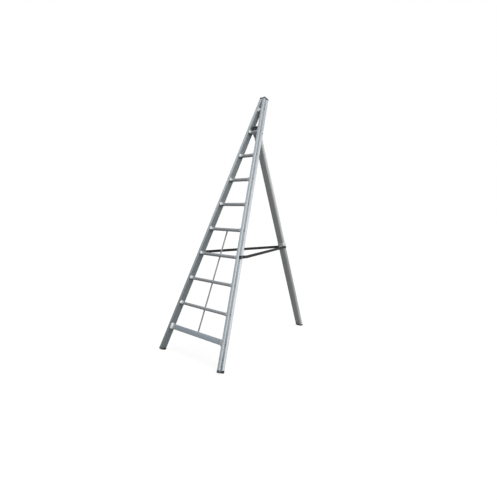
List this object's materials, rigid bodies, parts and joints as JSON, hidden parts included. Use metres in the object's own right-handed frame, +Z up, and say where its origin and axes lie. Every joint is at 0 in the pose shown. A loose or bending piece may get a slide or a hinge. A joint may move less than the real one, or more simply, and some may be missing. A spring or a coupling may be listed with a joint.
{
  "type": "orchard tripod ladder",
  "caption": "Free-standing aluminium picking ladder: converging grooved stiles, box rungs, broad bottom step, centre tie rod, and a hinged rear leg braced by struts on a sliding collar.",
  "frame": {"origin": "centre of the standing ladder's footprint box, on the floor", "axes": "+X to the climber's right along the rungs, +Y from the climber's side towards the rear leg, +Z up"},
  "size_m": [0.9612, 1.8254, 2.704],
  "materials": {
    "stile_aluminium": "mill finish, fine lengthways lines",
    "rung_aluminium": "mill finish",
    "step_aluminium": "mill finish",
    "cast_aluminium": "bright cast",
    "collar_aluminium": "mill finish",
    "leg_aluminium": "mill finish",
    "rod_aluminium": "mill finish",
    "rivet_aluminium": "satin",
    "black_rubber": "matt",
    "black_plastic": "matt moulded",
    "black_steel": "satin black",
    "dark_steel": "dark zinc",
    "zinc_steel": "bright zinc",
    "nylon": "natural"
  },
  "bodies": {
    "frame": {"left_stile": "stile_aluminium", "right_stile": "stile_aluminium", "left_top_cap": "black_plastic", "right_top_cap": "black_plastic", "left_foot": "black_rubber", "right_foot": "black_rubber", "rung_1": "rung_aluminium", "rung_2": "rung_aluminium", "rung_3": "rung_aluminium", "rung_4": "rung_aluminium", "rung_5": "rung_aluminium", "rung_6": "rung_aluminium", "rung_7": "rung_aluminium", "rung_8": "rung_aluminium", "rung_9": "rung_aluminium", "bottom_step": "step_aluminium", "left_rung_ends": "cast_aluminium", "right_rung_ends": "cast_aluminium", "left_step_end": "cast_aluminium", "right_step_end": "cast_aluminium", "left_rung_bolts": "dark_steel", "right_rung_bolts": "dark_steel", "left_rung_rivets": "rivet_aluminium", "right_rung_rivets": "rivet_aluminium", "left_foot_bolts": "dark_steel", "right_foot_bolts": "dark_steel", "tie_rod": "rod_aluminium", "tie_rod_rivets": "rivet_aluminium", "hinge_bolt": "zinc_steel", "hinge_nut": "zinc_steel", "hinge_washers": "zinc_steel", "hinge_bushes": "black_plastic", "left_strut_lug": "black_steel", "right_strut_lug": "black_steel", "lug_bolts": "zinc_steel", "strut_pivot_bolts": "dark_steel", "strut_pivot_nuts": "dark_steel", "strut_washers": "nylon"},
    "leg": {"leg_tube": "leg_aluminium", "leg_cap": "black_plastic", "leg_foot": "black_rubber", "left_hinge_ear": "black_steel", "right_hinge_ear": "black_steel", "ear_bolts": "dark_steel", "collar_stop": "collar_aluminium", "stop_rivets": "rivet_aluminium"},
    "collar": {"slide_collar": "collar_aluminium"},
    "left_strut": {"left_strut": "black_steel", "left_strut_pin": "black_steel"},
    "right_strut": {"right_strut": "black_steel", "right_strut_pin": "black_steel"}
  },
  "joints": [
    {"name": "leg_fold", "type": "hinge", "parent": "frame", "child": "leg", "pos_m": [0, 0.06646, 2.30108], "axis": [-1, 0, 0], "range_deg": [0, 41]},
    {"name": "collar_slide", "type": "slide", "parent": "leg", "child": "collar", "axis": [0, 0.3256, -0.9455], "range_m": [0, 0.96074]},
    {"name": "left_strut_swing", "type": "hinge", "parent": "frame", "child": "left_strut", "pos_m": [0, -0.41317, 1.02051], "axis": [-1, 0, 0], "range_deg": [0, 113.06]},
    {"name": "right_strut_swing", "type": "hinge", "parent": "frame", "child": "right_strut", "pos_m": [0, -0.41317, 1.02051], "axis": [-1, 0, 0], "range_deg": [0, 113.06]}
  ],
  "couplings": [
    {"joint": "collar_slide", "follows": "leg_fold", "m_per_rad": 1.3424},
    {"joint": "left_strut_swing", "follows": "leg_fold", "ratio": 2.7574},
    {"joint": "right_strut_swing", "follows": "leg_fold", "ratio": 2.7574}
  ]
}
